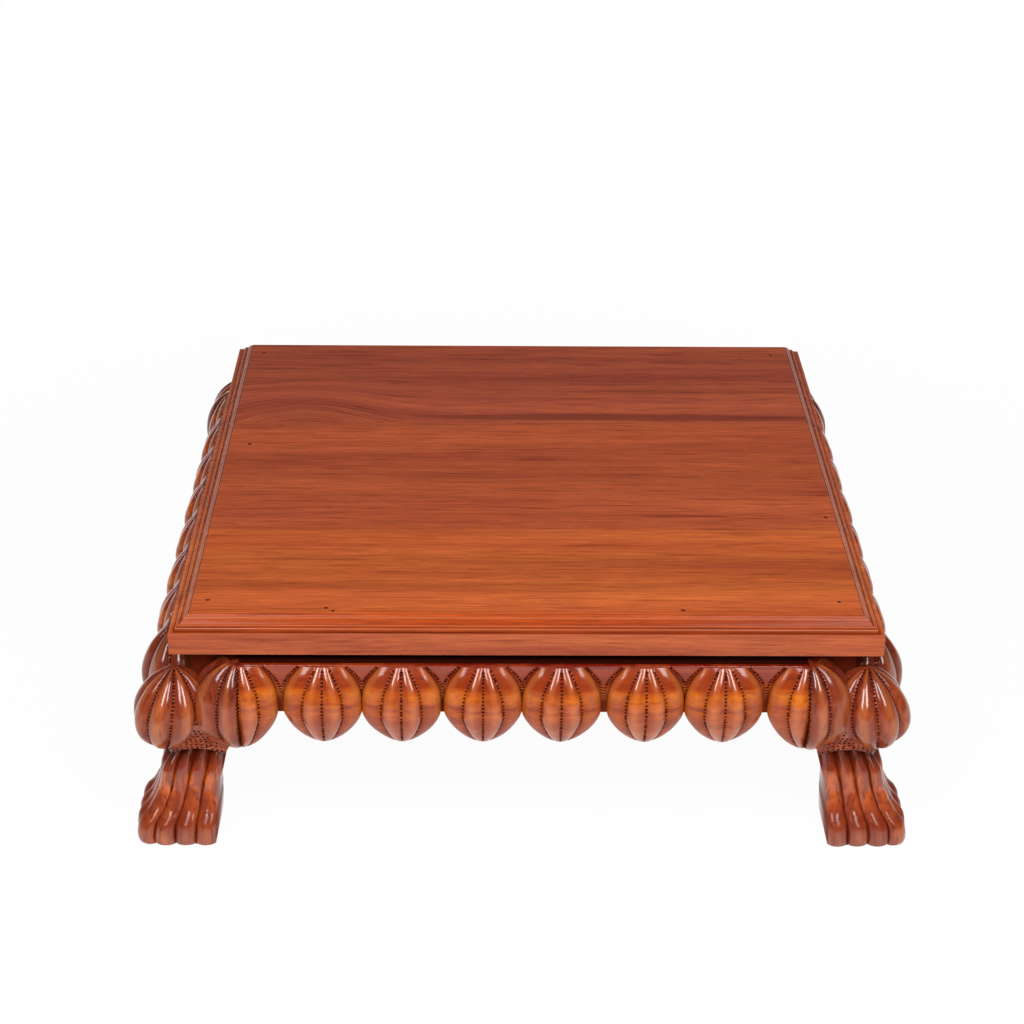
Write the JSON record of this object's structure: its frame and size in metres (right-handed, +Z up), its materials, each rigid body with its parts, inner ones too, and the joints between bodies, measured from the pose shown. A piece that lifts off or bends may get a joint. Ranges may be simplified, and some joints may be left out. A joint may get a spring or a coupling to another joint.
{
  "type": "low table",
  "caption": "Square wooden bajot low table with a moulded plank top, ribbed bulb aprons and paw feet",
  "frame": {"origin": "on the floor under the middle of the four feet", "axes": "+X to the right and +Y to the back as seen from the front, +Z up; the grain of the top runs along X"},
  "size_m": [0.51, 0.51, 0.155],
  "materials": {
    "top_wood": "gloss varnish over red-brown planks with straight grain",
    "carved_wood": "gloss varnish over dark red-brown carving",
    "batten_wood": "stained, not varnished",
    "nail_iron": "dark filler over the head",
    "screw_steel": "dull zinc"
  },
  "bodies": {
    "root": {"top_board_front": "top_wood", "top_board_middle": "top_wood", "top_board_back": "top_wood", "apron_front": "carved_wood", "apron_back": "carved_wood", "apron_left": "carved_wood", "apron_right": "carved_wood", "leg_front_left": "carved_wood", "leg_front_right": "carved_wood", "leg_back_left": "carved_wood", "leg_back_right": "carved_wood", "batten_front": "batten_wood", "batten_screw_front_1": "screw_steel", "batten_screw_front_2": "screw_steel", "batten_screw_front_3": "screw_steel", "batten_back": "batten_wood", "batten_screw_back_1": "screw_steel", "batten_screw_back_2": "screw_steel", "batten_screw_back_3": "screw_steel", "batten_left": "batten_wood", "batten_screw_left_1": "screw_steel", "batten_screw_left_2": "screw_steel", "batten_screw_left_3": "screw_steel", "batten_right": "batten_wood", "batten_screw_right_1": "screw_steel", "batten_screw_right_2": "screw_steel", "batten_screw_right_3": "screw_steel", "top_nail_front_left_corner": "nail_iron", "top_nail_front_right_corner": "nail_iron", "top_nail_back_left_corner": "nail_iron", "top_nail_back_right_corner": "nail_iron", "top_nail_left_side": "nail_iron", "top_nail_right_side": "nail_iron", "top_nail_front_left": "nail_iron", "top_nail_front_left_second": "nail_iron", "top_nail_front_right": "nail_iron"}
  },
  "joints": []
}
